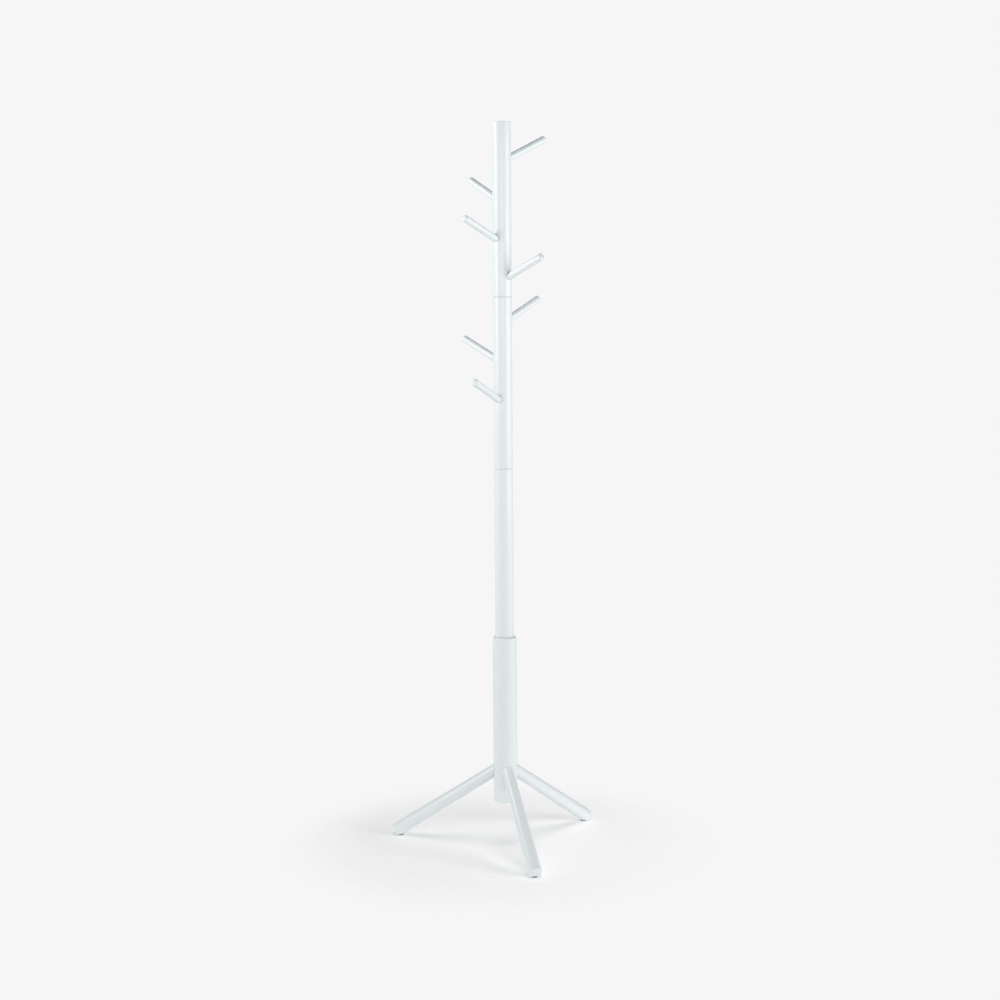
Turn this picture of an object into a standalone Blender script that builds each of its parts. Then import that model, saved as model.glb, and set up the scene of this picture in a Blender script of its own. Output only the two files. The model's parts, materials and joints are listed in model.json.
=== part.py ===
"""A standing coat rack of painted wood, as the pieces that come out of its box.

A thick base post stands on three legs. Three equal poles screw onto it, one on top of the other,
and seven peg hooks climb the upper two poles like a spiral stair. Units are metres and +Z is up. The
origin is on the floor, on the axis of the poles. One leg points to the front, along -Y, and the other
two stand 120 degrees from it.
"""

import math

import bpy
from mathutils import Matrix, Vector

# Driving dimensions of the whole rack
HEIGHT = 1.750
GAP = 0.0003

# Poles and base post
POLE_COUNT = 3
POLE_LENGTH = 0.411
POLE_RADIUS = 0.0225
POLE_EDGE = 0.0012
POST_RADIUS = 0.0290
POST_EDGE = 0.0050
POST_FOOT_EDGE = 0.0025
POST_LENGTH = 0.409
POST_TOP = HEIGHT - POLE_COUNT * POLE_LENGTH
POST_BOTTOM = POST_TOP - POST_LENGTH

# Threaded joint between two poles: a stud glued into the upper piece, a flanged nut in the lower one
STUD_RADIUS = 0.0050
STUD_GLUED = 0.030
STUD_SCREWED = 0.025
POLE_NUT_RADIUS = 0.0080
POLE_NUT_LENGTH = 0.027
POLE_NUT_FLANGE_RADIUS = 0.0120
POLE_NUT_FLANGE = 0.0018

# Legs, whose axes all meet on the axis of the post
LEG_ROOT_RADIUS = 0.0145
LEG_FOOT_RADIUS = 0.0170
LEG_ROOT_HEIGHT = 0.181
LEG_END_REACH = 0.2872
LEG_END_HEIGHT = 0.0090
LEG_END_ROUND = 0.0050
LEG_DIRECTIONS = {"front": 270, "right": 30, "left": 150}
LEG_BOLT_RADIUS = 0.0040
LEG_BOLT_IN_LEG = 0.034
LEG_NUT_RADIUS = 0.0065
LEG_NUT_LENGTH = 0.015
LEG_NUT_DEPTH = 0.0055
LEG_SOCKET_MOUTH = 0.020

# Glides nailed under the feet
GLIDE_RADIUS = 0.0080
GLIDE_THICKNESS = 0.0022
GLIDE_REACH = 0.2755
GLIDE_PIN_RADIUS = 0.0012
GLIDE_PIN_LENGTH = 0.012

# Hooks
HOOK_RADIUS = 0.0085
HOOK_LENGTH = 0.110
HOOK_END_ROUND = 0.0035
HOOK_RISE = math.radians(25)
HOOK_TURN = 96
HOOK_HEIGHTS = {
    "upper_pole": (1.6670, 1.5720, 1.4770, 1.3875),
    "middle_pole": (1.2870, 1.1920, 1.0970),
}
HOOK_STARTS = {"upper_pole": 18.5, "middle_pole": 30.5}
HOOK_BOLT_RADIUS = 0.0030
HOOK_BOLT_IN_HOOK = 0.026
HOOK_NUT_RADIUS = 0.0048
HOOK_NUT_LENGTH = 0.012
HOOK_NUT_DEPTH = 0.0030
HOOK_SOCKET_MOUTH = 0.010

# Sides of a turned piece
POLE_SIDES = 40
LEG_SIDES = 32
HOOK_SIDES = 24
GLIDE_SIDES = 24
HARDWARE_SIDES = 16
PLAIN_SIDES = 12
SHARP_ANGLE = math.radians(30)
CUT_MARGIN = 0.004


def clear_scene():
    """Remove every object of the scene that the file opened with."""
    for leftover in list(bpy.data.objects):
        bpy.data.objects.remove(leftover, do_unlink=True)


def new_collection(name):
    """Make a collection inside the scene's own."""
    collection = bpy.data.collections.new(name)
    bpy.context.scene.collection.children.link(collection)
    return collection


def new_material(name, colour, roughness, metallic):
    """Make a Principled BSDF material of one colour."""
    material = bpy.data.materials.new(name)
    material.use_nodes = True
    shader = material.node_tree.nodes["Principled BSDF"]
    shader.inputs["Base Color"].default_value = (*colour, 1.0)
    shader.inputs["Roughness"].default_value = roughness
    shader.inputs["Metallic"].default_value = metallic
    material.diffuse_color = (*colour, 1.0)
    return material


def arc(centre, radius, start, end, points):
    """Points of a profile along a quarter round or any other arc, angles in degrees from +X."""
    angles = [start + (end - start) * i / (points - 1) for i in range(points)]
    return [
        (
            centre[0] + radius * math.cos(math.radians(angle)),
            centre[1] + radius * math.sin(math.radians(angle)),
        )
        for angle in angles
    ]


def turned(name, profile, sides, collection, material=None, ring=False):
    """Turn a profile of (radius, height) points about Z. A ring's profile closes on itself."""
    mesh = bpy.data.meshes.new(name)
    edges = [(i, i + 1) for i in range(len(profile) - 1)]
    if ring:
        edges.append((len(profile) - 1, 0))
    mesh.from_pydata([(radius, 0.0, height) for radius, height in profile], edges, [])
    piece = bpy.data.objects.new(name, mesh)
    collection.objects.link(piece)
    if material:
        mesh.materials.append(material)
    screw = piece.modifiers.new("Turning", "SCREW")
    screw.axis = "Z"
    screw.angle = 2 * math.pi
    screw.steps = sides
    screw.render_steps = sides
    screw.use_merge_vertices = True
    screw.merge_threshold = 0.00001
    screw.use_smooth_shade = True
    return piece


def cylinder_profile(radius, low, high):
    """The profile of a plain cylinder between two heights."""
    return [(0.0, high), (radius, high), (radius, low), (0.0, low)]


def cut(piece, cutter):
    """Take the shape of a cutter away from a piece."""
    boolean = piece.modifiers.new("Cut by " + cutter.name, "BOOLEAN")
    boolean.operation = "DIFFERENCE"
    boolean.solver = "EXACT"
    boolean.object = cutter


def as_cutter(cutter):
    """Keep a cutter out of the render, and draw it as a wire."""
    cutter.hide_render = True
    cutter.display_type = "WIRE"
    return cutter


def slanted(direction, slope, radius, height):
    """Where a peg or a leg stands: its own Z runs outwards along its axis.

    direction is the compass angle in degrees from +X, slope the angle of the axis above the
    horizontal in radians, and the axis starts at this radius and height.
    """
    turn = Matrix.Rotation(math.radians(direction), 4, "Z")
    tip = Matrix.Rotation(math.pi / 2 - slope, 4, "Y")
    return turn @ Matrix.Translation(Vector((radius, 0.0, height))) @ tip


def pole_profile(radius, length, top_edge, bottom_edge, top_bore, bottom_bore):
    """Half the section of a pole, from the floor of its top bore to the roof of its bottom one.

    Each bore is a list of (radius, depth) steps, widest first, or empty where that end is solid.
    """
    points = []
    for bore_radius, depth in reversed(top_bore):
        inner = 0.0 if not points else points[-1][0]
        points += [(inner, length - depth), (bore_radius, length - depth)]
    if top_bore:
        points.append((top_bore[0][0], length))
    else:
        points.append((0.0, length))
    points += arc((radius - top_edge, length - top_edge), top_edge, 90, 0, 4)
    points += arc((radius - bottom_edge, bottom_edge), bottom_edge, 0, -90, 4)
    if bottom_bore:
        points.append((bottom_bore[0][0], 0.0))
    else:
        points.append((0.0, 0.0))
    for step, (bore_radius, depth) in enumerate(bottom_bore):
        inner = bottom_bore[step + 1][0] if step + 1 < len(bottom_bore) else 0.0
        points += [(bore_radius, depth), (inner, depth)]
    return points


def nut_profile(radius, length, bore, flange_radius, flange):
    """Half the section of a threaded sleeve that hangs down from its flange at height 0."""
    return [
        (bore, 0.0),
        (flange_radius, 0.0),
        (flange_radius, -flange),
        (radius, -flange),
        (radius, -length),
        (bore, -length),
    ]


NUT_BORE = [
    (POLE_NUT_FLANGE_RADIUS + GAP, POLE_NUT_FLANGE + GAP),
    (POLE_NUT_RADIUS + GAP, POLE_NUT_LENGTH + GAP),
]
STUD_BORE = [(STUD_RADIUS + GAP, STUD_GLUED + GAP)]


def build_base_post(parts, paint):
    """The thick post that carries the legs, with the lowest pole nut's bore in its top."""
    profile = pole_profile(
        POST_RADIUS, POST_TOP - POST_BOTTOM, POST_EDGE, POST_FOOT_EDGE, NUT_BORE, []
    )
    post = turned("base_post", profile, POLE_SIDES, parts, paint)
    post.location.z = POST_BOTTOM
    return post


def build_pole(parts, paint, name, number):
    """One of the three poles, counted from the post upwards. The last one has a closed top."""
    top_bore = NUT_BORE if number < POLE_COUNT - 1 else []
    profile = pole_profile(
        POLE_RADIUS, POLE_LENGTH - GAP, POLE_EDGE, POLE_EDGE, top_bore, STUD_BORE
    )
    pole = turned(name, profile, POLE_SIDES, parts, paint)
    pole.location.z = POST_TOP + number * POLE_LENGTH + GAP
    return pole


def build_pole_joint(parts, steel, stud_name, nut_name, height):
    """The stud under a pole, and the flanged nut that it screws into."""
    stud_profile = cylinder_profile(STUD_RADIUS, -STUD_SCREWED, STUD_GLUED)
    stud = turned(stud_name, stud_profile, HARDWARE_SIDES, parts, steel)
    stud.location.z = height
    profile = nut_profile(
        POLE_NUT_RADIUS,
        POLE_NUT_LENGTH,
        STUD_RADIUS + GAP,
        POLE_NUT_FLANGE_RADIUS,
        POLE_NUT_FLANGE,
    )
    nut = turned(nut_name, profile, HARDWARE_SIDES, parts, steel, ring=True)
    nut.location.z = height - GAP / 2


def build_leg(parts, cutters, materials, post, side, direction):
    """One leg with its bolt, its nut in the post, and the glide under its foot."""
    run = LEG_END_REACH - POST_RADIUS
    drop = LEG_ROOT_HEIGHT - LEG_END_HEIGHT
    length = math.hypot(run, drop)
    place = slanted(direction, -math.atan2(drop, run), POST_RADIUS, LEG_ROOT_HEIGHT)
    root = -LEG_ROOT_RADIUS * 1.5

    taper = (LEG_FOOT_RADIUS - LEG_ROOT_RADIUS) / length
    corner = LEG_FOOT_RADIUS - LEG_END_ROUND
    bolt_hole = LEG_BOLT_RADIUS + GAP
    profile = [(0.0, length)]
    profile += arc((corner, length - LEG_END_ROUND), LEG_END_ROUND, 90, 0, 6)
    profile += [
        (LEG_ROOT_RADIUS + taper * root, root),
        (bolt_hole, root),
        (bolt_hole, LEG_BOLT_IN_LEG + GAP),
        (0.0, LEG_BOLT_IN_LEG + GAP),
    ]
    leg = turned(f"leg_{side}", profile, LEG_SIDES, parts, materials["paint"])
    leg.matrix_world = place
    cut(leg, cutters["post"])
    cut(leg, cutters["floor"])

    nut_end = LEG_NUT_DEPTH + LEG_NUT_LENGTH
    bolt_profile = cylinder_profile(LEG_BOLT_RADIUS, -nut_end, LEG_BOLT_IN_LEG)
    bolt = turned(f"leg_{side}_bolt", bolt_profile, HARDWARE_SIDES, parts, materials["steel"])
    bolt.matrix_world = place

    sleeve = [
        (bolt_hole, -LEG_NUT_DEPTH),
        (LEG_NUT_RADIUS, -LEG_NUT_DEPTH),
        (LEG_NUT_RADIUS, -nut_end),
        (bolt_hole, -nut_end),
    ]
    nut = turned(f"leg_{side}_nut", sleeve, HARDWARE_SIDES, parts, materials["brass"], ring=True)
    nut.matrix_world = place

    socket = cylinder_profile(LEG_NUT_RADIUS + GAP, -nut_end - GAP, LEG_SOCKET_MOUTH)
    socket_cutter = as_cutter(
        turned(f"leg_{side}_socket", socket, HARDWARE_SIDES, cutters["collection"])
    )
    socket_cutter.matrix_world = place
    cut(post, socket_cutter)
    build_glide(parts, cutters, materials["rubber"], leg, side, direction)


def build_glide(parts, cutters, rubber, leg, side, direction):
    """A round glide with a pin on top, and the hole that the pin leaves in the leg."""
    bevel = GLIDE_THICKNESS / 4
    profile = [
        (0.0, GLIDE_THICKNESS + GLIDE_PIN_LENGTH),
        (GLIDE_PIN_RADIUS, GLIDE_THICKNESS + GLIDE_PIN_LENGTH),
        (GLIDE_PIN_RADIUS, GLIDE_THICKNESS),
        (GLIDE_RADIUS, GLIDE_THICKNESS),
        (GLIDE_RADIUS, bevel),
        (GLIDE_RADIUS - bevel, 0.0),
        (0.0, 0.0),
    ]
    heading = math.radians(direction)
    centre = Vector((GLIDE_REACH * math.cos(heading), GLIDE_REACH * math.sin(heading), 0.0))
    glide = turned(f"glide_{side}", profile, GLIDE_SIDES, parts, rubber)
    glide.location = centre
    pin_top = GLIDE_THICKNESS + GLIDE_PIN_LENGTH + GAP
    pin_hole = cylinder_profile(GLIDE_PIN_RADIUS + GAP, -CUT_MARGIN, pin_top)
    pin_cutter = as_cutter(
        turned(f"glide_{side}_pin_hole", pin_hole, PLAIN_SIDES, cutters["collection"])
    )
    pin_cutter.location = centre
    cut(leg, pin_cutter)


def build_hook(parts, cutters, materials, pole, number, direction, height):
    """One peg hook with its bolt, and its nut in the pole."""
    place = slanted(direction, HOOK_RISE, POLE_RADIUS, height)
    root = -HOOK_RADIUS
    bolt_hole = HOOK_BOLT_RADIUS + GAP
    end_centre = (HOOK_RADIUS - HOOK_END_ROUND, HOOK_LENGTH - HOOK_END_ROUND)
    profile = [
        (0.0, HOOK_LENGTH),
        *arc(end_centre, HOOK_END_ROUND, 90, 0, 6),
        (HOOK_RADIUS, root),
        (bolt_hole, root),
        (bolt_hole, HOOK_BOLT_IN_HOOK + GAP),
        (0.0, HOOK_BOLT_IN_HOOK + GAP),
    ]
    hook = turned(f"hook_{number}", profile, HOOK_SIDES, parts, materials["paint"])
    hook.matrix_world = place
    cut(hook, cutters["pole"])

    nut_end = HOOK_NUT_DEPTH + HOOK_NUT_LENGTH
    bolt_profile = cylinder_profile(HOOK_BOLT_RADIUS, -nut_end, HOOK_BOLT_IN_HOOK)
    bolt = turned(f"hook_{number}_bolt", bolt_profile, HARDWARE_SIDES, parts, materials["steel"])
    bolt.matrix_world = place

    sleeve = [
        (bolt_hole, -HOOK_NUT_DEPTH),
        (HOOK_NUT_RADIUS, -HOOK_NUT_DEPTH),
        (HOOK_NUT_RADIUS, -nut_end),
        (bolt_hole, -nut_end),
    ]
    nut = turned(f"hook_{number}_nut", sleeve, HARDWARE_SIDES, parts, materials["brass"], ring=True)
    nut.matrix_world = place

    socket = cylinder_profile(HOOK_NUT_RADIUS + GAP, -nut_end - GAP, HOOK_SOCKET_MOUTH)
    socket_cutter = as_cutter(
        turned(f"hook_{number}_socket", socket, HARDWARE_SIDES, cutters["collection"])
    )
    socket_cutter.matrix_world = place
    cut(pole, socket_cutter)


def build_cutters():
    """The shapes that trim the hooks to the poles, and the legs to the post and the floor."""
    collection = new_collection("cutters")
    pole = turned(
        "pole_surface",
        cylinder_profile(POLE_RADIUS + GAP, POST_TOP, HEIGHT + CUT_MARGIN),
        POLE_SIDES,
        collection,
    )
    post = turned(
        "post_surface",
        cylinder_profile(POST_RADIUS + GAP, 0.0, POST_TOP),
        POLE_SIDES,
        collection,
    )
    floor = turned(
        "floor_level",
        cylinder_profile(2 * LEG_END_REACH, -LEG_ROOT_HEIGHT, GLIDE_THICKNESS + GAP),
        PLAIN_SIDES,
        collection,
    )
    for cutter in (pole, post, floor):
        as_cutter(cutter)
    return {"collection": collection, "pole": pole, "post": post, "floor": floor}


def smooth_round_faces(parts):
    """Keep turned faces smooth, and edges over 30 degrees crisp."""
    for piece in parts.objects:
        piece.data.shade_smooth()
        piece.data.set_sharp_from_angle(angle=SHARP_ANGLE)


def main():
    """Build the rack from the post outwards and upwards."""
    clear_scene()
    parts = new_collection("coat_rack")
    cutters = build_cutters()
    materials = {
        "paint": new_material("white_paint", (0.86, 0.89, 0.90), 0.38, 0.0),
        "steel": new_material("zinc_plated_steel", (0.62, 0.63, 0.64), 0.35, 1.0),
        "brass": new_material("brass", (0.72, 0.56, 0.30), 0.35, 1.0),
        "rubber": new_material("dark_rubber", (0.03, 0.03, 0.03), 0.70, 0.0),
    }

    post = build_base_post(parts, materials["paint"])
    pole_names = ("lower_pole", "middle_pole", "upper_pole")
    below = ("base_post", "lower_pole", "middle_pole")
    poles = {}
    for number, name in enumerate(pole_names):
        poles[name] = build_pole(parts, materials["paint"], name, number)
        height = POST_TOP + number * POLE_LENGTH
        build_pole_joint(
            parts, materials["steel"], f"{name}_stud", f"{below[number]}_nut", height
        )

    for side, direction in LEG_DIRECTIONS.items():
        build_leg(parts, cutters, materials, post, side, direction)

    number = 0
    for pole_name, heights in HOOK_HEIGHTS.items():
        for step, height in enumerate(heights):
            direction = HOOK_STARTS[pole_name] + HOOK_TURN * step
            number += 1
            build_hook(
                parts, cutters, materials, poles[pole_name], number, direction, height
            )
    smooth_round_faces(parts)


main()
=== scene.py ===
"""Looks of a standing coat rack of white painted wood.

The frame's poles, post, legs, pegs and glides are remade here as finely turned pieces, each in its
own node's place, and painted. The studs, bolts and nuts inside keep their shapes and get plated
steel and brass. A pale studio floor, soft lights and the camera stand round the rack. Everything is
in metres, with +Z up and the front towards -Y.
"""

import json
import logging
import math
from collections.abc import Iterator
from contextlib import contextmanager
from dataclasses import dataclass
from enum import Enum

import bmesh
import bpy
import numpy as np
from mathutils import Matrix, Vector

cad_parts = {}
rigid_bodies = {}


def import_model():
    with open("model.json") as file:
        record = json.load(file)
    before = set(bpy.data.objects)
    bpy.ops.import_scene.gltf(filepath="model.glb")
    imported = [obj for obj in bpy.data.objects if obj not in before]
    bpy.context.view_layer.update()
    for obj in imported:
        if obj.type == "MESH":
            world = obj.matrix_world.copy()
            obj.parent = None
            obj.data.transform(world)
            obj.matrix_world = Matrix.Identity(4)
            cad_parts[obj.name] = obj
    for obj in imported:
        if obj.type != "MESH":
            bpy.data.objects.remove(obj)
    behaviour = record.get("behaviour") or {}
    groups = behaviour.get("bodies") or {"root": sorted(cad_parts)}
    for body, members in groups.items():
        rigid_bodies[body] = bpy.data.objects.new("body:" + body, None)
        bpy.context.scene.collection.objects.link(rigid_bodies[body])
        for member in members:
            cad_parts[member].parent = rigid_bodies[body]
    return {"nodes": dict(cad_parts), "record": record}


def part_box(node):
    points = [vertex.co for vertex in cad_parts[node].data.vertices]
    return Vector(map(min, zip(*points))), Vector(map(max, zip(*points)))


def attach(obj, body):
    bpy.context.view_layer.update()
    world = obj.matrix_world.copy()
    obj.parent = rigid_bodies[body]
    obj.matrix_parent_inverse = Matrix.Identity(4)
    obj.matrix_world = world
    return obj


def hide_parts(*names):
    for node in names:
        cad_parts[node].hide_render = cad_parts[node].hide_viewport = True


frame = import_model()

Colour = tuple[float, float, float, float]
Triple = tuple[float, float, float]
Pair = tuple[float, float]

LOG = logging.getLogger("coat_rack")

# The mesh attribute of the wood's grain, and how it drifts from one blank to the next
GRAIN = "grain"
GRAIN_DRIFT = (0.37, 0.61, 1.0)

# The space between wooden faces that meet, and the sides of a turned piece
GAP = 0.0003
ROUND_SIDES = 96

# How near counts as level, how upright a normal counts as flat, the sharpest smooth edge, and
# the digits that tell two points apart
LEVEL_WITHIN = 1e-6
FLAT_NORMAL = 0.99
CREASE_DEGREES = 35.0
POINT_DIGITS = 6

# Which way a hole goes, and how far a seat's drill and a coping cut reach, in radii
DOWN, UP = -1.0, 1.0
SEAT_REACH = 2.0
COPING_REACH = 4.0

# The middle of a noise from 0 to 1
MIDDLE = 0.5

# The colour sockets of a Mix node, whose names are shared by its other sockets
MIX_FACTOR, MIX_FIRST, MIX_SECOND, MIX_RESULT = 0, 6, 7, 2


# Shader maths


@dataclass(frozen=True)
class Wire:
    """A shader socket that takes part in Python expressions."""

    shop: "NodeBench"
    socket: bpy.types.NodeSocket

    def _maths(self, operation: str, other: object) -> "Wire":
        """Add one Math node.

        Args:
            operation: The Math node's operation.
            other: What is added, taken away or multiplied by: a number or a wire.

        Returns:
            The node's output.
        """
        return self.shop.node("ShaderNodeMath", {"operation": operation}, {0: self, 1: other})

    def __add__(self, other: object) -> "Wire":
        """Sum."""
        return self._maths("ADD", other)

    def __sub__(self, other: object) -> "Wire":
        """Difference."""
        return self._maths("SUBTRACT", other)

    def __mul__(self, other: object) -> "Wire":
        """Product."""
        return self._maths("MULTIPLY", other)


class NodeBench:
    """Wires up the nodes of one tree."""

    def __init__(self, owner: bpy.types.ID, output: str) -> None:
        """Take over an empty node tree.

        Args:
            owner: The material or world that the tree belongs to.
            output: The type of its output node.
        """
        owner.use_nodes = True
        self.output = output
        self.tree = owner.node_tree
        self.tree.nodes.clear()

    def node(
        self, kind: str, settings: dict[str, object], values: dict[object, object], out: object = 0
    ) -> Wire:
        """Add a node.

        Args:
            kind: The node's type.
            settings: Its properties.
            values: Its sockets' values or wires, by name or number.
            out: The output that is wanted, by name or number.

        Returns:
            That output.
        """
        made = self.tree.nodes.new(kind)
        for key, value in settings.items():
            setattr(made, key, value)
        for key, value in values.items():
            if isinstance(value, Wire):
                self.tree.links.new(value.socket, made.inputs[key])
            else:
                made.inputs[key].default_value = value
        return Wire(self, made.outputs[out])

    def between(self, mask: Wire, low: float, high: float) -> Wire:
        """Stretch the range low to high of a mask to 0 to 1, smoothly.

        Args:
            mask: The value to stretch.
            low: What becomes 0.
            high: What becomes 1.

        Returns:
            The stretched mask.
        """
        return self.node(
            "ShaderNodeMapRange",
            {"interpolation_type": "SMOOTHSTEP"},
            {"Value": mask, "From Min": low, "From Max": high},
        )

    def close(self, shader: Wire) -> None:
        """Lead a shader to the tree's output."""
        output = self.tree.nodes.new(self.output)
        self.tree.links.new(shader.socket, output.inputs["Surface"])


class PaintShop(NodeBench):
    """Builds the nodes of one material."""

    def __init__(self, name: str) -> None:
        """Start a material.

        Args:
            name: The material's name.
        """
        self.material = bpy.data.materials.new(name)
        super().__init__(self.material, "ShaderNodeOutputMaterial")

    def place(self, source: str, stretch: Triple) -> Wire:
        """Coordinates for a pattern.

        Args:
            source: "Object", or the name of a mesh attribute.
            stretch: How many times the pattern repeats per metre along each axis.

        Returns:
            The stretched coordinates.
        """
        if source == "Object":
            where = self.node("ShaderNodeTexCoord", {}, {}, "Object")
        else:
            where = self.node("ShaderNodeAttribute", {"attribute_name": source}, {}, "Vector")
        return self.node("ShaderNodeMapping", {}, {"Vector": where, "Scale": stretch})

    def noise(self, where: Wire, detail: float, roughness: float = 0.5) -> Wire:
        """Soft noise from 0 to 1.

        Args:
            where: Coordinates.
            detail: Number of finer layers.
            roughness: Strength of the finer layers.

        Returns:
            The noise.
        """
        return self.node(
            "ShaderNodeTexNoise",
            {},
            {"Vector": where, "Scale": 1.0, "Detail": detail, "Roughness": roughness},
            "Fac",
        )

    def tint(self, mask: Wire, first: object, second: object) -> Wire:
        """Mix two colours.

        Args:
            mask: 0 for the first colour, 1 for the second.
            first: A colour or a wire.
            second: A colour or a wire.

        Returns:
            The mixed colour.
        """
        return self.node(
            "ShaderNodeMix",
            {"data_type": "RGBA"},
            {MIX_FACTOR: mask, MIX_FIRST: first, MIX_SECOND: second},
            MIX_RESULT,
        )

    def bump(self, height: Wire, depth: float, below: Wire | None = None) -> Wire:
        """Turn a height from 0 to 1 into a normal.

        Args:
            height: The height.
            depth: How deep the relief is, in metres.
            below: The normal that it lies on.

        Returns:
            The normal.
        """
        values = {"Height": height, "Distance": depth, "Strength": 1.0}
        if below is not None:
            values["Normal"] = below
        return self.node("ShaderNodeBump", {}, values, "Normal")

    def finish(self, constants: dict[str, object], varying: dict[str, Wire]) -> bpy.types.Material:
        """Close the material with its main shader.

        Args:
            constants: Socket values that are the same all over.
            varying: Wires of what changes over the surface.

        Returns:
            The material.
        """
        shader = self.node("ShaderNodeBsdfPrincipled", {}, {**constants, **varying})
        self.close(shader)
        return self.material


# Finishes


@dataclass(frozen=True)
class SatinPaint:
    """Sprayed white satin paint on turned wood, whose grain shows through faintly."""

    name: str = "satin_white_paint"
    slot: str = "white_paint"
    colour: Colour = (0.790, 0.834, 0.845, 1.0)
    thin_colour: Colour = (0.775, 0.816, 0.822, 1.0)
    rub_colour: Colour = (0.735, 0.770, 0.770, 1.0)
    roughness: float = 0.30
    roughness_spread: float = 0.05
    grain_depth: float = 0.00002
    peel_depth: float = 0.000005
    grain_scale: Triple = (170.0, 170.0, 7.0)
    pore_scale: Triple = (900.0, 900.0, 45.0)
    peel_scale: Triple = (620.0, 620.0, 620.0)
    cloud_scale: Triple = (14.0, 14.0, 5.0)
    speck_scale: Triple = (310.0, 310.0, 190.0)
    pore_range: Pair = (0.60, 0.78)
    thin_range: Pair = (0.42, 0.66)
    speck_range: Pair = (0.80, 0.86)
    thin_share: float = 0.6
    speck_share: float = 0.4
    fibre_share: float = 0.3
    peel_spread: float = 0.03
    speck_dullness: float = 0.1

    def material(self) -> bpy.types.Material:
        """Make the material.

        Returns:
            A material that reads the "grain" attribute, whose Z runs along the wood.
        """
        shop = PaintShop(self.name)
        grain = shop.noise(shop.place(GRAIN, self.grain_scale), detail=4.0, roughness=0.6)
        pores = shop.noise(shop.place(GRAIN, self.pore_scale), detail=2.0)
        peel = shop.noise(shop.place(GRAIN, self.peel_scale), detail=2.0)
        cloud = shop.noise(shop.place(GRAIN, self.cloud_scale), detail=3.0)
        dots = shop.noise(shop.place(GRAIN, self.speck_scale), detail=1.0)
        speck = shop.between(dots, *self.speck_range)
        fibres = shop.between(pores, *self.pore_range) * shop.between(cloud, *self.thin_range)
        thin = shop.between(grain * 0.6 + cloud * 0.4, *self.thin_range)
        colour = shop.tint(thin * self.thin_share, self.colour, self.thin_colour)
        rubbed = speck * self.speck_share + fibres * self.fibre_share
        colour = shop.tint(rubbed, colour, self.rub_colour)
        rough = (grain - MIDDLE) * self.roughness_spread + (peel - MIDDLE) * self.peel_spread
        rough = rough + self.roughness + speck * self.speck_dullness
        relief = shop.bump(grain * 0.6 - fibres * 0.4, self.grain_depth)
        relief = shop.bump(peel, self.peel_depth, relief)
        return shop.finish(
            {"Metallic": 0.0, "IOR": 1.46, "Coat Weight": 0.12, "Coat Roughness": 0.15},
            {"Base Color": colour, "Roughness": rough, "Normal": relief},
        )


@dataclass(frozen=True)
class PlatedMetal:
    """Machined and plated metal of the hidden fittings."""

    name: str
    slot: str
    bright: Colour
    dull: Colour
    roughness: float
    mark_depth: float = 0.00003
    mark_scale: Triple = (300.0, 300.0, 2600.0)
    patch_scale: Triple = (90.0, 90.0, 90.0)
    patch_range: Pair = (0.4, 0.7)

    def material(self) -> bpy.types.Material:
        """Make the material.

        Returns:
            A metal with fine turning marks and dull patches.
        """
        shop = PaintShop(self.name)
        marks = shop.noise(shop.place("Object", self.mark_scale), detail=3.0)
        cloud = shop.noise(shop.place("Object", self.patch_scale), detail=3.0)
        patches = shop.between(cloud, *self.patch_range)
        colour = shop.tint(patches * 0.7 + marks * 0.2, self.bright, self.dull)
        rough = patches * 0.16 + marks * 0.10 + self.roughness
        return shop.finish(
            {"Metallic": 1.0},
            {
                "Base Color": colour,
                "Roughness": rough,
                "Normal": shop.bump(marks, self.mark_depth),
            },
        )


@dataclass(frozen=True)
class GlideNylon:
    """Dark moulded nylon of the glides, scuffed by the floor."""

    name: str = "dark_nylon"
    slot: str = "dark_glide"
    colour: Colour = (0.016, 0.016, 0.017, 1.0)
    scuffed: Colour = (0.075, 0.074, 0.072, 1.0)
    roughness: float = 0.52
    spark_depth: float = 0.00003
    spark_scale: Triple = (1500.0, 1500.0, 1500.0)
    scuff_scale: Triple = (260.0, 1100.0, 700.0)
    scuff_range: Pair = (0.56, 0.70)

    def material(self) -> bpy.types.Material:
        """Make the material.

        Returns:
            A dark plastic with a fine spark texture and pale scuffs.
        """
        shop = PaintShop(self.name)
        spark = shop.noise(shop.place("Object", self.spark_scale), detail=2.0)
        scuff = shop.noise(shop.place("Object", self.scuff_scale), detail=3.0)
        worn = shop.between(scuff, *self.scuff_range)
        return shop.finish(
            {"Metallic": 0.0},
            {
                "Base Color": shop.tint(worn * 0.6, self.colour, self.scuffed),
                "Roughness": spark * 0.16 + worn * 0.15 + self.roughness,
                "Normal": shop.bump(spark, self.spark_depth),
            },
        )


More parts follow.
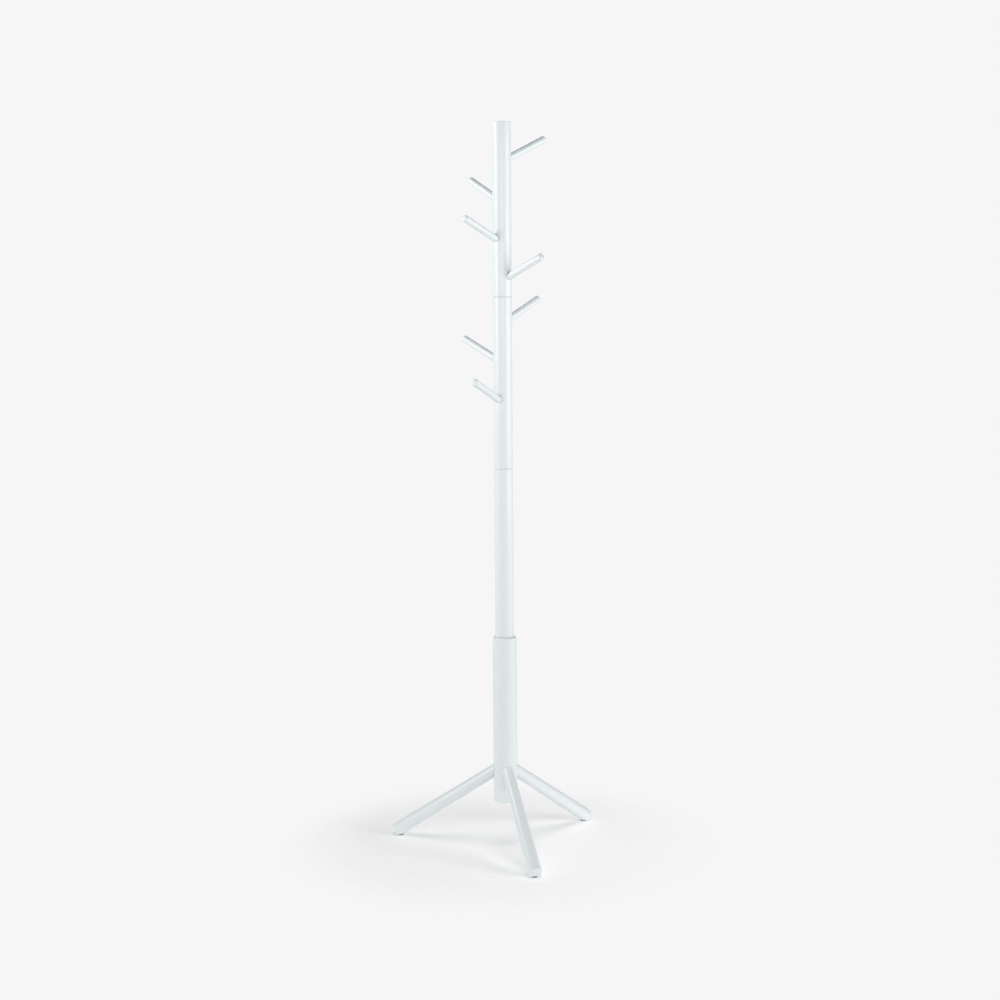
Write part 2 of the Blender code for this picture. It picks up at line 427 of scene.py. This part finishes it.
@dataclass(frozen=True)
class StudioPaper:
    """Pale paper under the rack, evenly lit from behind, which fades into the plain background."""

    name: str = "studio_paper"
    colour: Colour = (0.81, 0.80, 0.80, 1.0)
    glow: float = 0.285
    fade_start: float = 0.28
    fade_end: float = 0.58
    tooth_depth: float = 0.00003
    tooth_scale: Triple = (420.0, 420.0, 420.0)
    level_scale: Triple = (1.0, 1.0, 0.0)

    def material(self) -> bpy.types.Material:
        """Make the material.

        Returns:
            Matt glowing paper near the origin that turns clear with distance.
        """
        shop = PaintShop(self.name)
        tooth = shop.noise(shop.place("Object", self.tooth_scale), detail=2.0)
        where = shop.place("Object", self.level_scale)
        away = shop.node("ShaderNodeVectorMath", {"operation": "LENGTH"}, {0: where}, "Value")
        clear = shop.between(away, self.fade_start, self.fade_end)
        matt = shop.node(
            "ShaderNodeBsdfDiffuse",
            {},
            {"Color": self.colour, "Normal": shop.bump(tooth, self.tooth_depth)},
        )
        light = shop.node("ShaderNodeEmission", {}, {"Strength": self.glow})
        paper = shop.node("ShaderNodeAddShader", {}, {0: matt, 1: light})
        nothing = shop.node("ShaderNodeBsdfTransparent", {}, {})
        shop.close(shop.node("ShaderNodeMixShader", {}, {0: clear, 1: paper, 2: nothing}))
        return shop.material


# Workbench


class Workbench:
    """The hand tools that every wooden piece is shaped with."""

    @staticmethod
    def clear() -> None:
        """Deselect everything, so that a tool acts on its own piece only."""
        for thing in bpy.context.view_layer.objects:
            thing.select_set(False)
        bpy.context.view_layer.objects.active = None

    @classmethod
    def pick_up(cls, piece: bpy.types.Object) -> None:
        """Make a piece the only one that the tools act on."""
        cls.clear()
        piece.select_set(True)
        bpy.context.view_layer.objects.active = piece

    @classmethod
    def take(cls, name: str) -> bpy.types.Object:
        """Name the blank that was just added, and settle it."""
        piece = bpy.context.object
        piece.name = name
        piece.data.name = name
        cls.settle(piece)
        return piece

    @classmethod
    def blank(cls, name: str, radius: float, bottom: float, top: float) -> bpy.types.Object:
        """Add the round blank of a turned piece, upright on the Z axis.

        Args:
            name: The piece's name.
            radius: The blank's radius.
            bottom: The height of its lower end.
            top: The height of its upper end.

        Returns:
            The blank.
        """
        cls.clear()
        bpy.ops.mesh.primitive_cylinder_add(
            vertices=ROUND_SIDES,
            radius=radius,
            depth=top - bottom,
            end_fill_type="NGON",
            location=(0.0, 0.0, (top + bottom) / 2),
        )
        return cls.take(name)

    @classmethod
    def tapered_blank(
        cls, name: str, low_radius: float, high_radius: float, bottom: float, top: float
    ) -> bpy.types.Object:
        """Add the blank of a tapered piece, upright on the Z axis.

        Args:
            name: The piece's name.
            low_radius: Radius at the lower end.
            high_radius: Radius at the upper end.
            bottom: The height of its lower end.
            top: The height of its upper end.

        Returns:
            The blank.
        """
        cls.clear()
        bpy.ops.mesh.primitive_cone_add(
            vertices=ROUND_SIDES,
            radius1=low_radius,
            radius2=high_radius,
            depth=top - bottom,
            end_fill_type="NGON",
            location=(0.0, 0.0, (top + bottom) / 2),
        )
        return cls.take(name)

    @classmethod
    def settle(cls, piece: bpy.types.Object) -> None:
        """Put a piece's place into its mesh."""
        cls.pick_up(piece)
        bpy.ops.object.transform_apply(location=True, rotation=True, scale=True)

    @classmethod
    @contextmanager
    def clamped(cls, piece: bpy.types.Object) -> Iterator[None]:
        """Hold one piece in edit mode.

        Args:
            piece: The piece to edit.

        Yields:
            Nothing.
        """
        cls.pick_up(piece)
        bpy.ops.object.mode_set(mode="EDIT")
        try:
            yield
        finally:
            bpy.ops.object.mode_set(mode="OBJECT")

    @staticmethod
    def pick_end(piece: bpy.types.Object, height: float) -> None:
        """Select the flat end at a height.

        Args:
            piece: A piece in edit mode.
            height: The end's height.
        """
        bpy.ops.mesh.select_mode(type="FACE")
        bpy.ops.mesh.select_all(action="DESELECT")
        shell = bmesh.from_edit_mesh(piece.data)
        for face in shell.faces:
            level = abs(face.calc_center_median().z - height) < LEVEL_WITHIN
            face.select_set(level and abs(face.normal.z) > FLAT_NORMAL)
        shell.select_flush(True)
        bmesh.update_edit_mesh(piece.data)

    @staticmethod
    def pick_rim(piece: bpy.types.Object, height: float) -> None:
        """Select the round edge at a height.

        Args:
            piece: A piece in edit mode.
            height: The edge's height.
        """
        bpy.ops.mesh.select_mode(type="EDGE")
        bpy.ops.mesh.select_all(action="DESELECT")
        shell = bmesh.from_edit_mesh(piece.data)
        for edge in shell.edges:
            off = max(abs(corner.co.z - height) for corner in edge.verts)
            edge.select_set(off < LEVEL_WITHIN)
        shell.select_flush_mode()
        bmesh.update_edit_mesh(piece.data)

    @classmethod
    def round_rim(cls, piece: bpy.types.Object, height: float, radius: float, steps: int) -> None:
        """Round the edge at one end.

        Args:
            piece: A piece in edit mode.
            height: The end's height.
            radius: The rounding's radius.
            steps: How many facets the rounding has.
        """
        cls.pick_rim(piece, height)
        bpy.ops.mesh.bevel(
            offset_type="OFFSET", offset=radius, segments=steps, profile=0.5, affect="EDGES"
        )

    @classmethod
    def bore(
        cls,
        piece: bpy.types.Object,
        height: float,
        face_radius: float,
        steps: tuple[Pair, ...],
        inwards: float,
    ) -> None:
        """Sink a stepped hole into a flat end.

        Args:
            piece: A piece in edit mode.
            height: The end's height.
            face_radius: The radius of the flat end.
            steps: Pairs of radius and depth, widest first.
            inwards: DOWN or UP, whichever leads into the piece.
        """
        cls.pick_end(piece, height)
        reached = 0.0
        for radius, depth in steps:
            bpy.ops.mesh.inset(thickness=face_radius - radius, depth=0.0)
            bpy.ops.mesh.extrude_region_move(
                TRANSFORM_OT_translate={"value": (0.0, 0.0, inwards * (depth - reached))}
            )
            face_radius = radius
            reached = depth

    @staticmethod
    def part_off(height: float, drop_below: bool = False) -> None:
        """Cut the edges of the piece in edit mode level at a height.

        Args:
            height: The cut's height.
            drop_below: Whether what lies below goes, and the cut becomes a flat end.
        """
        bpy.ops.mesh.select_all(action="SELECT")
        bpy.ops.mesh.bisect(
            plane_co=(0.0, 0.0, height),
            plane_no=(0.0, 0.0, 1.0),
            use_fill=drop_below,
            clear_inner=drop_below,
        )

    @classmethod
    def cut(cls, piece: bpy.types.Object, cutter: bpy.types.Object) -> None:
        """Take a cutter's shape out of a piece, and throw the cutter away.

        Args:
            piece: The piece to cut.
            cutter: The shape to take out.
        """
        cls.pick_up(piece)
        boolean = piece.modifiers.new("cut", "BOOLEAN")
        boolean.operation = "DIFFERENCE"
        boolean.solver = "EXACT"
        boolean.object = cutter
        bpy.ops.object.modifier_apply(modifier=boolean.name)
        bpy.data.objects.remove(cutter, do_unlink=True)

    @staticmethod
    def mark_grain(piece: bpy.types.Object, turned: Matrix, offset: float) -> None:
        """Store where each point lies in the blank that the piece was turned from.

        Args:
            piece: The piece.
            turned: Takes the piece's points back to the upright blank.
            offset: Where along the plank the blank was cut.
        """
        mesh = piece.data
        points = np.empty(len(mesh.vertices) * 3)
        mesh.vertices.foreach_get("co", points)
        back = np.array(turned)
        inside = points.reshape(-1, 3) @ back[:3, :3].T + back[:3, 3]
        inside += np.array(GRAIN_DRIFT) * offset
        layer = mesh.attributes.get(GRAIN)
        if layer is None:
            layer = mesh.attributes.new(GRAIN, "FLOAT_VECTOR", "POINT")
        layer.data.foreach_set("vector", inside.astype(np.float32).ravel())

    @classmethod
    def smooth(cls, piece: bpy.types.Object) -> None:
        """Shade a piece smooth, and keep its sharp edges crisp."""
        cls.pick_up(piece)
        bpy.ops.object.shade_smooth_by_angle(angle=math.radians(CREASE_DEGREES))

    @classmethod
    def copy_of(cls, pattern: bpy.types.Object, name: str, place: Matrix) -> bpy.types.Object:
        """Copy a pattern piece to its own place.

        Args:
            pattern: The piece that is copied.
            name: The copy's name.
            place: Where the copy goes.

        Returns:
            The copy, with its own mesh.
        """
        piece = pattern.copy()
        piece.data = pattern.data.copy()
        piece.name = name
        piece.data.name = name
        bpy.context.scene.collection.objects.link(piece)
        piece.matrix_world = place
        cls.settle(piece)
        return piece


def fit(
    piece: bpy.types.Object,
    node: str,
    body: str,
    look: bpy.types.Material,
) -> None:
    """Give a finished piece its material and its body, and hide the frame's node that it stands
    for.

    Args:
        piece: The piece.
        node: The frame's node that it stands for.
        body: The body that it moves with.
        look: The finish's material.
    """
    piece.data.materials.clear()
    piece.data.materials.append(look)
    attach(piece, body)
    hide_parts(node)
    LOG.info("%s: %d faces, moves with %s", piece.name, len(piece.data.polygons), body)


# Sub-assemblies


class Section(Enum):
    """The sections of the upright, by the body that each one belongs to."""

    BASE = "base"
    LOWER = "lower"
    MIDDLE = "middle"
    UPPER = "upper"


@dataclass(frozen=True)
class Bearing:
    """Which way a bolt points, and where its axis leaves the wood."""

    heading: float
    slope: float
    height: float

    @classmethod
    def of_bolt(cls, node: str, surface: float) -> "Bearing":
        """Measure a bolt of the frame.

        Args:
            node: The bolt's node.
            surface: Radius of the round wood that the bolt stands in.

        Returns:
            Its bearing.
        """
        mesh = frame["nodes"][node].data
        points = np.empty(len(mesh.vertices) * 3)
        mesh.vertices.foreach_get("co", points)
        points = np.unique(points.reshape(-1, 3).round(POINT_DIGITS), axis=0)
        low, high = points.min(axis=0), points.max(axis=0)
        centre = (low + high) / 2
        along = np.linalg.svd(points - points.mean(axis=0))[2][0]
        along *= math.copysign(1.0, float(along[:2] @ centre[:2]))
        slope = math.asin(along[2])
        reach = float(np.hypot(*centre[:2]))
        height = float(centre[2]) + (surface - reach) * math.tan(slope)
        return cls(math.atan2(along[1], along[0]), slope, height)

    def swing(self) -> Matrix:
        """Where a pattern that points along +X from the axis at height 0 goes."""
        return Matrix.Translation((0.0, 0.0, self.height)) @ Matrix.Rotation(self.heading, 4, "Z")

    def tilt(self, surface: float) -> Matrix:
        """Where an upright blank goes, to point along +X from the wood's surface."""
        return Matrix.Translation((surface, 0.0, 0.0)) @ Matrix.Rotation(
            math.pi / 2 - self.slope, 4, "Y"
        )


@dataclass
class Upright:
    """The base post and the three poles that screw onto it."""

    names: tuple[tuple[str, Section], ...] = (
        ("base_post", Section.BASE),
        ("lower_pole", Section.LOWER),
        ("middle_pole", Section.MIDDLE),
        ("upper_pole", Section.UPPER),
    )
    pole_edge: float = 0.0012
    post_edge: float = 0.0050
    post_foot_edge: float = 0.0025
    top_steps: int = 8
    foot_steps: int = 6
    nut_recess: tuple[Pair, ...] = ((0.0123, 0.0021), (0.0083, 0.0273))
    stud_hole: tuple[Pair, ...] = ((0.0053, 0.0303),)

    def build(self, node: str, section: Section) -> bpy.types.Object:
        """Turn one section, with the recesses for its nut and its stud.

        Args:
            node: The section's node.
            section: Which section it is.

        Returns:
            The turned piece.
        """
        low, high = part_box(node)
        radius = (high.x - low.x) / 2
        is_post = section is Section.BASE
        top_edge = self.post_edge if is_post else self.pole_edge
        foot_edge = self.post_foot_edge if is_post else self.pole_edge
        piece = Workbench.blank(f"painted_{node}", radius, low.z, high.z)
        with Workbench.clamped(piece):
            Workbench.round_rim(piece, high.z, top_edge, self.top_steps)
            Workbench.round_rim(piece, low.z, foot_edge, self.foot_steps)
            if section is not Section.UPPER:
                Workbench.bore(piece, high.z, radius - top_edge, self.nut_recess, DOWN)
            if not is_post:
                Workbench.bore(piece, low.z, radius - foot_edge, self.stud_hole, UP)
        return piece


@dataclass
class Spoke:
    """What the pegs and the legs share: a round stick that stands in a socket of the upright."""

    parent_radius: float
    socket_radius: float
    socket_depth: float
    stick_radius: float
    bolt_radius: float
    bolt_depth: float
    seat_gap: float
    seat_depth: float
    seat_shift: float
    end_round: float
    end_steps: int
    root_share: float

    def bearing(self, node: str) -> Bearing:
        """Where the stick of a node stands."""
        return Bearing.of_bolt(f"{node}_bolt", self.parent_radius)

    def length(self, node: str) -> float:
        """How far the stick of a node stands out along its own axis."""
        bearing = self.bearing(node)
        upright = (bearing.swing() @ bearing.tilt(self.parent_radius)).inverted()
        mesh = frame["nodes"][node].data
        return max((upright @ point.co).z for point in mesh.vertices)

    def socket(self, bearing: Bearing) -> bpy.types.Object:
        """Make the drill for the nut's socket.

        Args:
            bearing: Where the stick stands.

        Returns:
            The cutter, in place.
        """
        drill = Workbench.blank(
            "socket_drill", self.socket_radius, -self.socket_depth, self.stick_radius
        )
        drill.matrix_world = bearing.swing() @ bearing.tilt(self.parent_radius)
        Workbench.settle(drill)
        return drill

    def seat(self, bearing: Bearing) -> bpy.types.Object:
        """Make the drill for the shallow seat that shows as a fine dark line at the stick's root.

        Args:
            bearing: Where the stick stands.

        Returns:
            The cutter, in place.
        """
        drill = Workbench.blank(
            "seat_drill",
            self.stick_radius + self.seat_gap,
            -self.seat_depth,
            SEAT_REACH * self.stick_radius,
        )
        aside = Matrix.Translation((self.seat_shift, 0.0, 0.0))
        drill.matrix_world = bearing.swing() @ bearing.tilt(self.parent_radius) @ aside
        Workbench.settle(drill)
        return drill

    def work_ends(
        self, piece: bpy.types.Object, length: float, bottom: float, root_radius: float
    ) -> None:
        """Round a blank's outer end, and drill its root for the bolt.

        Args:
            piece: The blank, upright.
            length: The height of its outer end.
            bottom: The height of its root.
            root_radius: The radius of the root.
        """
        hole = ((self.bolt_radius, self.bolt_depth - bottom),)
        with Workbench.clamped(piece):
            Workbench.round_rim(piece, length, self.end_round, self.end_steps)
            Workbench.bore(piece, bottom, root_radius, hole, UP)

    def cope(self, piece: bpy.types.Object) -> None:
        """Hollow the root of a stick, tilted into place, so that it sits on the round upright."""
        reach = COPING_REACH * self.parent_radius
        Workbench.cut(piece, Workbench.blank("coping", self.parent_radius + GAP, -reach, reach))


@dataclass
class Pegs(Spoke):
    """The peg hooks that climb the upper two poles."""

    parent_radius: float = 0.0225
    socket_radius: float = 0.0051
    socket_depth: float = 0.0153
    stick_radius: float = 0.0085
    bolt_radius: float = 0.0033
    bolt_depth: float = 0.0263
    seat_gap: float = 0.0005
    seat_depth: float = 0.0020
    seat_shift: float = -0.0006
    end_round: float = 0.0035
    end_steps: int = 10
    root_share: float = 1.0
    places: tuple[tuple[str, Section], ...] = (
        ("hook_1", Section.UPPER),
        ("hook_2", Section.UPPER),
        ("hook_3", Section.UPPER),
        ("hook_4", Section.UPPER),
        ("hook_5", Section.MIDDLE),
        ("hook_6", Section.MIDDLE),
        ("hook_7", Section.MIDDLE),
    )

    def pattern(self) -> bpy.types.Object:
        """Turn the peg that the others are copied from.

        Returns:
            The peg, pointing along +X from the Z axis.
        """
        node = self.places[0][0]
        first = self.bearing(node)
        length = self.length(node)
        bottom = -self.root_share * self.stick_radius
        peg = Workbench.blank("peg_pattern", self.stick_radius, bottom, length)
        self.work_ends(peg, length, bottom, self.stick_radius)
        peg.matrix_world = first.tilt(self.parent_radius)
        Workbench.settle(peg)
        self.cope(peg)
        Workbench.mark_grain(peg, first.tilt(self.parent_radius).inverted(), 0.0)
        return peg


@dataclass
class Legs(Spoke):
    """The three splayed legs, and the glides under them."""

    parent_radius: float = 0.0290
    socket_radius: float = 0.0068
    socket_depth: float = 0.0208
    stick_radius: float = 0.0145
    bolt_radius: float = 0.0043
    bolt_depth: float = 0.0343
    seat_gap: float = 0.0005
    seat_depth: float = 0.0020
    seat_shift: float = 0.0006
    end_round: float = 0.0050
    end_steps: int = 12
    root_share: float = 1.5
    foot_radius: float = 0.0170
    pin_hole: float = 0.0015
    sides: tuple[str, ...] = ("front", "right", "left")

    def pattern(self) -> bpy.types.Object:
        """Turn the leg that the others are copied from.

        Returns:
            The leg, pointing along +X from the Z axis, at the height that it has on the post.
        """
        node = f"leg_{self.sides[0]}"
        first = self.bearing(node)
        length = self.length(node)
        bottom = -self.root_share * self.stick_radius
        taper = (self.foot_radius - self.stick_radius) / length
        root_radius = self.stick_radius + taper * bottom
        leg = Workbench.tapered_blank("leg_pattern", root_radius, self.foot_radius, bottom, length)
        self.work_ends(leg, length, bottom, root_radius)
        leg.matrix_world = first.tilt(self.parent_radius)
        Workbench.settle(leg)
        self.cope(leg)

        low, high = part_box(f"glide_{self.sides[0]}")
        floor_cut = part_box(f"leg_{self.sides[0]}")[0].z - first.height
        with Workbench.clamped(leg):
            Workbench.part_off(floor_cut, drop_below=True)
        reach = ((low + high) / 2).xy.length
        pin = Workbench.blank("pin_drill", self.pin_hole, -GAP, high.z + GAP)
        pin.matrix_world = Matrix.Translation((reach, 0.0, -first.height))
        Workbench.settle(pin)
        Workbench.cut(leg, pin)
        Workbench.mark_grain(leg, first.tilt(self.parent_radius).inverted(), 0.0)
        return leg


@dataclass
class Glide:
    """A moulded glide on a pin, under each foot."""

    radius: float = 0.0080
    thickness: float = 0.0022
    lip: float = 0.0006
    lip_steps: int = 5
    shoulder: float = 0.0003
    shoulder_steps: int = 3
    pin_radius: float = 0.0012

    def build(self, node: str) -> bpy.types.Object:
        """Shape one glide where the frame has it.

        Args:
            node: The glide's node.

        Returns:
            The glide.
        """
        low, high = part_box(node)
        piece = Workbench.blank(f"moulded_{node}", self.radius, low.z, low.z + self.thickness)
        with Workbench.clamped(piece):
            top = low.z + self.thickness
            Workbench.round_rim(piece, low.z, self.lip, self.lip_steps)
            Workbench.round_rim(piece, top, self.shoulder, self.shoulder_steps)
            Workbench.pick_end(piece, top)
            bpy.ops.mesh.inset(thickness=self.radius - self.shoulder - self.pin_radius, depth=0.0)
            rise = high.z - low.z - self.thickness
            bpy.ops.mesh.extrude_region_move(TRANSFORM_OT_translate={"value": (0.0, 0.0, rise)})
        middle = (low + high) / 2
        piece.matrix_world = Matrix.Translation((middle.x, middle.y, 0.0))
        Workbench.settle(piece)
        Workbench.smooth(piece)
        return piece


@dataclass
class Rack:
    """The whole rack, in the order in which it goes together."""

    upright: Upright
    pegs: Pegs
    legs: Legs
    glide: Glide
    paint: SatinPaint
    zinc: PlatedMetal
    brass: PlatedMetal
    nylon: GlideNylon
    ring_spread: float = 2.6
    pole_drift: float = 0.83
    peg_drift: float = 0.29
    leg_drift: Pair = (3.1, 0.47)

    def assemble(self) -> None:
        """Build, dress and fit every piece."""
        painted = self.paint.material()
        self.fit_upright(painted)
        self.fit_sticks(painted)
        dark = self.nylon.material()
        for side in self.legs.sides:
            glide = self.glide.build(f"glide_{side}")
            fit(glide, f"glide_{side}", Section.BASE.value, dark)
        self.plate_fittings()

    def fit_upright(self, painted: bpy.types.Material) -> None:
        """Turn the post and the poles, and drill them for the legs and the pegs.

        Args:
            painted: The paint.
        """
        for place, (node, section) in enumerate(self.upright.names):
            piece = self.upright.build(node, section)
            if section is Section.BASE:
                kind = self.legs
                bearings = [kind.bearing(f"leg_{side}") for side in self.legs.sides]
            else:
                kind = self.pegs
                nodes = [peg for peg, where in self.pegs.places if where is section]
                bearings = [kind.bearing(peg) for peg in nodes]
            for bearing in bearings:
                self.ring_cuts(piece, bearing.height, self.ring_spread * kind.stick_radius)
            for bearing in bearings:
                Workbench.cut(piece, kind.seat(bearing))
                Workbench.cut(piece, kind.socket(bearing))
            Workbench.mark_grain(piece, Matrix.Identity(4), self.pole_drift * place)
            Workbench.smooth(piece)
            fit(piece, node, section.value, painted)

    @staticmethod
    def ring_cuts(piece: bpy.types.Object, height: float, spread: float) -> None:
        """Ring a section above and below a joint, so that the long faces stay true elsewhere.

        Args:
            piece: The section.
            height: The joint's height.
            spread: How far above and below it the rings lie.
        """
        with Workbench.clamped(piece):
            for level in (height - spread, height + spread):
                Workbench.part_off(level)

    def fit_sticks(self, painted: bpy.types.Material) -> None:
        """Copy the pegs and the legs from their patterns to their places.

        Args:
            painted: The paint.
        """
        peg = self.pegs.pattern()
        for number, (node, section) in enumerate(self.pegs.places, 1):
            piece = Workbench.copy_of(peg, f"painted_{node}", self.pegs.bearing(node).swing())
            self.shift_grain(piece, self.peg_drift * number)
            Workbench.smooth(piece)
            fit(piece, node, section.value, painted)
        bpy.data.objects.remove(peg, do_unlink=True)

        leg = self.legs.pattern()
        start, step = self.leg_drift
        for order, side in enumerate(self.legs.sides):
            node = f"leg_{side}"
            piece = Workbench.copy_of(leg, f"painted_{node}", self.legs.bearing(node).swing())
            self.shift_grain(piece, start + step * order)
            Workbench.smooth(piece)
            fit(piece, node, Section.BASE.value, painted)
        bpy.data.objects.remove(leg, do_unlink=True)

    @staticmethod
    def shift_grain(piece: bpy.types.Object, offset: float) -> None:
        """Give a copied piece wood of its own.

        Args:
            piece: The copy, whose pattern has its grain marked.
            offset: Where along the plank the piece was cut.
        """
        layer = piece.data.attributes[GRAIN]
        values = np.empty(len(layer.data) * 3, np.float32)
        layer.data.foreach_get("vector", values)
        moved = values.reshape(-1, 3) + np.float32(np.array(GRAIN_DRIFT) * offset)
        layer.data.foreach_set("vector", moved.ravel())

    def plate_fittings(self) -> None:
        """Give the studs, bolts and nuts of the frame their plating."""
        looks = {metal.slot: metal.material() for metal in (self.zinc, self.brass)}
        for part in frame["record"]["subparts"]:
            look = looks.get(part["material_slot"])
            if look is None:
                continue
            node = frame["nodes"][part["node"]]
            node.data.materials.clear()
            node.data.materials.append(look)
            LOG.info("%s: %s", part["node"], look.name)


# Studio


class Reach(Enum):
    """What a lamp lights, by the way in which its flags treat the floor."""

    RACK = "EXCLUDE"
    FLOOR = "INCLUDE"


@dataclass(frozen=True)
class SoftBox:
    """One large soft lamp that looks at the rack."""

    name: str
    reach: Reach
    heading: float
    distance: float
    height: float
    width: float
    tall: float
    power: float
    colour: Triple = (1.0, 1.0, 1.0)
    aim: float = 0.85

    def hang(self, floor: bpy.types.Object) -> None:
        """Add the lamp. Its heading is in degrees from the front, towards +X.

        Args:
            floor: The studio's floor, which the lamp leaves out or lights alone.
        """
        turn = math.radians(self.heading)
        where = Vector(
            (self.distance * math.sin(turn), -self.distance * math.cos(turn), self.height)
        )
        lamp = bpy.data.lights.new(self.name, "AREA")
        lamp.shape = "RECTANGLE"
        lamp.size = self.width
        lamp.size_y = self.tall
        lamp.energy = self.power
        lamp.color = self.colour
        holder = bpy.data.objects.new(self.name, lamp)
        holder.location = where
        ahead = Vector((0.0, 0.0, self.aim)) - where
        holder.rotation_euler = ahead.to_track_quat("-Z", "Y").to_euler()
        bpy.context.scene.collection.objects.link(holder)
        flags = bpy.data.collections.new(f"{self.name}_flags")
        flags.objects.link(floor)
        flags.collection_objects[0].light_linking.link_state = self.reach.value
        holder.light_linking.receiver_collection = flags


@dataclass
class Studio:
    """The pale floor, the lamps and the camera."""

    paper: StudioPaper
    lamps: tuple[SoftBox, ...]
    floor_radius: float = 3.0
    floor_sides: int = 64
    ambient: Colour = (0.955, 1.0, 1.005, 1.0)
    belt: float = 0.68
    ceiling: float = 0.12
    ceiling_start: float = 0.26
    ceiling_end: float = 0.62
    background: Colour = (0.9216, 0.9216, 0.9216, 1.0)
    camera_place: Triple = (-1.0881, -4.4592, 1.405)
    camera_heading: float = -13.6
    camera_pitch: float = 6.8755
    camera_roll: float = -0.401
    lens: float = 68.95
    sensor: float = 36.0

    def set_up(self) -> None:
        """Build the studio round the rack."""
        floor = self.lay_floor()
        self.light_room()
        for lamp in self.lamps:
            lamp.hang(floor)
        self.stand_camera()
        bpy.context.scene.view_settings.view_transform = "Standard"

    def lay_floor(self) -> bpy.types.Object:
        """Lay the paper on the floor.

        Returns:
            The paper.
        """
        Workbench.clear()
        bpy.ops.mesh.primitive_circle_add(
            vertices=self.floor_sides,
            radius=self.floor_radius,
            fill_type="NGON",
            location=(0.0, 0.0, 0.0),
        )
        floor = bpy.context.object
        floor.name = "studio_floor"
        floor.data.materials.append(self.paper.material())
        return floor

    def light_room(self) -> None:
        """Fill the room with soft light, and show the plain background to the camera."""
        world = bpy.data.worlds.new("studio_room")
        bench = NodeBench(world, "ShaderNodeOutputWorld")
        ray = bench.node("ShaderNodeTexCoord", {}, {}, "Generated")
        rise = bench.node("ShaderNodeSeparateXYZ", {}, {"Vector": ray}, "Z")
        up = bench.between(rise, self.ceiling_start, self.ceiling_end)
        strength = up * (self.ceiling - self.belt) + self.belt
        fill = bench.node(
            "ShaderNodeBackground", {}, {"Color": self.ambient, "Strength": strength}
        )
        plain = bench.node("ShaderNodeBackground", {}, {"Color": self.background})
        seen = bench.node("ShaderNodeLightPath", {}, {}, "Is Camera Ray")
        bench.close(bench.node("ShaderNodeMixShader", {}, {0: seen, 1: fill, 2: plain}))
        bpy.context.scene.world = world

    def stand_camera(self) -> None:
        """Stand the camera a little to the left of the front, above the rack's middle."""
        lens = bpy.data.cameras.new("studio_camera")
        lens.lens = self.lens
        lens.sensor_width = self.sensor
        camera = bpy.data.objects.new("studio_camera", lens)
        camera.matrix_world = (
            Matrix.Translation(self.camera_place)
            @ Matrix.Rotation(math.radians(self.camera_heading), 4, "Z")
            @ Matrix.Rotation(math.radians(90.0 - self.camera_pitch), 4, "X")
            @ Matrix.Rotation(math.radians(self.camera_roll), 4, "Z")
        )
        bpy.context.scene.collection.objects.link(camera)
        bpy.context.scene.camera = camera


WARM = (1.0, 0.985, 0.985)
LAMPS = (
    SoftBox(
        "left_bank",
        Reach.RACK,
        heading=-86.0,
        distance=2.4,
        height=1.65,
        width=0.45,
        tall=1.3,
        power=21.0,
        colour=WARM,
    ),
    SoftBox(
        "right_key",
        Reach.RACK,
        heading=54.0,
        distance=3.0,
        height=1.25,
        width=2.8,
        tall=1.6,
        power=47.0,
        colour=WARM,
    ),
    SoftBox(
        "front_fill",
        Reach.RACK,
        heading=-14.0,
        distance=2.6,
        height=1.5,
        width=1.6,
        tall=0.8,
        power=12.0,
        aim=0.05,
    ),
    SoftBox(
        "high_strip",
        Reach.RACK,
        heading=-111.5,
        distance=1.96,
        height=2.3,
        width=0.15,
        tall=0.5,
        power=13.0,
        aim=0.1,
    ),
    SoftBox(
        "floor_key",
        Reach.FLOOR,
        heading=48.0,
        distance=4.0,
        height=1.3,
        width=2.0,
        tall=1.1,
        power=95.0,
        aim=0.0,
    ),
    SoftBox(
        "floor_top",
        Reach.FLOOR,
        heading=0.0,
        distance=0.1,
        height=2.6,
        width=1.5,
        tall=1.5,
        power=25.0,
        aim=0.0,
    ),
)


def main() -> None:
    """Build the rack and its studio, and report each piece."""
    logging.basicConfig(level=logging.INFO, format="%(name)s %(message)s")
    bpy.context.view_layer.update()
    rack = Rack(
        upright=Upright(),
        pegs=Pegs(),
        legs=Legs(),
        glide=Glide(),
        paint=SatinPaint(),
        zinc=PlatedMetal(
            "zinc_plate",
            "zinc_steel",
            bright=(0.66, 0.67, 0.69, 1.0),
            dull=(0.46, 0.47, 0.48, 1.0),
            roughness=0.26,
        ),
        brass=PlatedMetal(
            "turned_brass",
            "brass_nut",
            bright=(0.78, 0.60, 0.30, 1.0),
            dull=(0.55, 0.40, 0.20, 1.0),
            roughness=0.24,
        ),
        nylon=GlideNylon(),
    )
    rack.assemble()
    Studio(StudioPaper(), LAMPS).set_up()


if __name__ == "__main__":
    main()
